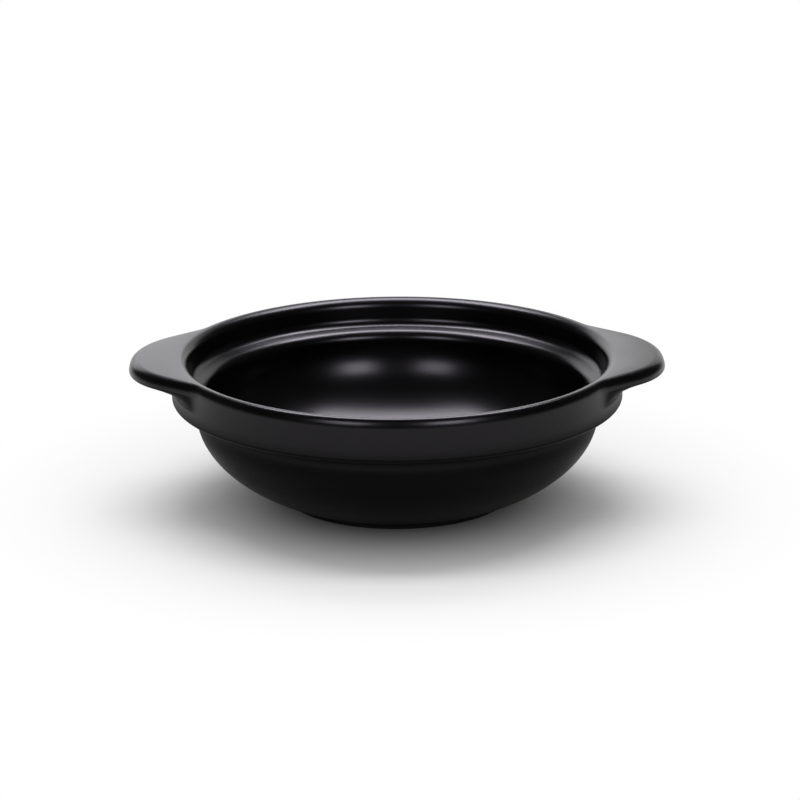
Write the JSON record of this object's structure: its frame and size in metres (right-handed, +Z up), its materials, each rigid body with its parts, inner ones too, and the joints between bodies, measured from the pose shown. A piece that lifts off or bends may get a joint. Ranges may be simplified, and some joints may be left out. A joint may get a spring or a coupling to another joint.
{
  "type": "clay pot",
  "caption": "Lidless glazed clay pot: a round bowl on a low foot ring, an overhanging rim collar with an inner ledge for a lid, and flat ear handles level with the rim.",
  "frame": {"origin": "middle of the plane that the foot ring stands on", "axes": "+Z up along the pot's axis, +X through the middle of the right ear"},
  "size_m": [0.2374, 0.2, 0.065],
  "materials": {
    "glaze": "near-black satin glaze",
    "foot_clay": "dark fired clay, thinly glazed on its outside and bare where it stands"
  },
  "bodies": {
    "root": {"bowl": "glaze", "rim_collar": "glaze", "ear_left": "glaze", "ear_right": "glaze", "foot_ring": "foot_clay"}
  },
  "joints": []
}
